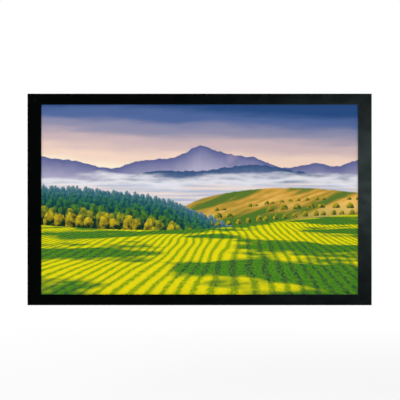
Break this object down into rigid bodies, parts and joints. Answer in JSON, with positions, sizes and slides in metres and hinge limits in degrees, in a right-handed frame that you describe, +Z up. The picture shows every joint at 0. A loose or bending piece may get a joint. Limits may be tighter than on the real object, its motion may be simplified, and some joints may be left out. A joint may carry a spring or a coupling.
{
  "type": "fixed frame projector screen",
  "caption": "Wide projector screen pulled flat in a mitred aluminium frame wrapped in black velvet, hung on wall brackets, with a landscape picture on it",
  "frame": {"origin": "on the wall, in the middle of the back face of the middle top wall bracket", "axes": "+X to the right seen from the front, +Y into the wall so that the picture faces -Y, +Z up"},
  "size_m": [2.06, 0.0428, 1.266],
  "materials": {
    "black_velvet": "flocked velvet, light-absorbing",
    "screen_film": "matt white coated film with a black back",
    "rail_aluminium": "mill-finish extrusion",
    "zinc_steel": "bright zinc plated steel",
    "spring_steel": "drawn spring wire and rod",
    "black_powder_coat": "fine-textured black powder coat on folded steel",
    "black_nylon": "moulded nylon"
  },
  "bodies": {
    "root": {"top_rail": "rail_aluminium", "bottom_rail": "rail_aluminium", "left_rail": "rail_aluminium", "right_rail": "rail_aluminium", "top_velvet_wrap": "black_velvet", "bottom_velvet_wrap": "black_velvet", "left_velvet_wrap": "black_velvet", "right_velvet_wrap": "black_velvet", "top_tension_rod": "spring_steel", "bottom_tension_rod": "spring_steel", "left_tension_rod": "spring_steel", "right_tension_rod": "spring_steel", "screen_surface": "screen_film", "support_bar": "rail_aluminium", "support_bar_top_cap": "black_nylon", "support_bar_bottom_cap": "black_nylon", "wall_bracket_top_left": "black_powder_coat", "wall_bracket_top_centre": "black_powder_coat", "wall_bracket_top_right": "black_powder_coat", "wall_bracket_bottom_left": "black_powder_coat", "wall_bracket_bottom_right": "black_powder_coat", "top_left_corner_plate": "zinc_steel", "top_left_corner_screw_1": "zinc_steel", "top_left_corner_screw_2": "zinc_steel", "top_left_corner_screw_3": "zinc_steel", "top_left_corner_screw_4": "zinc_steel", "top_right_corner_plate": "zinc_steel", "top_right_corner_screw_1": "zinc_steel", "top_right_corner_screw_2": "zinc_steel", "top_right_corner_screw_3": "zinc_steel", "top_right_corner_screw_4": "zinc_steel", "bottom_left_corner_plate": "zinc_steel", "bottom_left_corner_screw_1": "zinc_steel", "bottom_left_corner_screw_2": "zinc_steel", "bottom_left_corner_screw_3": "zinc_steel", "bottom_left_corner_screw_4": "zinc_steel", "bottom_right_corner_plate": "zinc_steel", "bottom_right_corner_screw_1": "zinc_steel", "bottom_right_corner_screw_2": "zinc_steel", "bottom_right_corner_screw_3": "zinc_steel", "bottom_right_corner_screw_4": "zinc_steel"}
  },
  "joints": []
}
